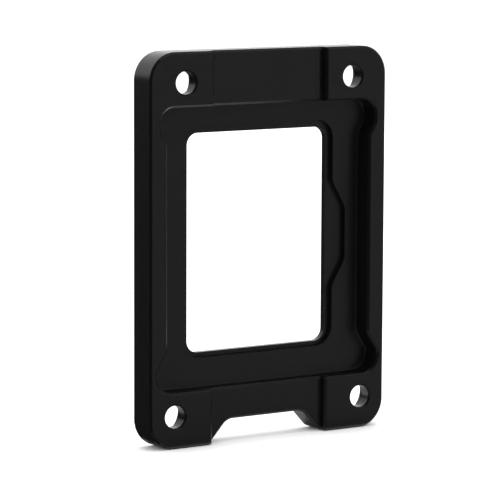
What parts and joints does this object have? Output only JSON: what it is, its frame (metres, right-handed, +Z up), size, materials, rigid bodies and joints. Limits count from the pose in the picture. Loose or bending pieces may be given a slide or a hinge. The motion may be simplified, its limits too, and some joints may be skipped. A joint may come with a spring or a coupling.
{
  "type": "cpu socket retention frame",
  "caption": "Flat machined frame that clamps a processor into its socket, with a central window, a stepped pocket, corner screw holes and a notched lower edge.",
  "frame": {"origin": "middle of the lower short edge, halfway through the thickness", "axes": "+Z up along the long sides, -Y out of the board side, X across the window"},
  "size_m": [0.051, 0.006, 0.071],
  "materials": {
    "retention_frame": "black anodised over a fine bead blast, satin"
  },
  "bodies": {
    "root": {"retention_frame": "retention_frame"}
  },
  "joints": []
}
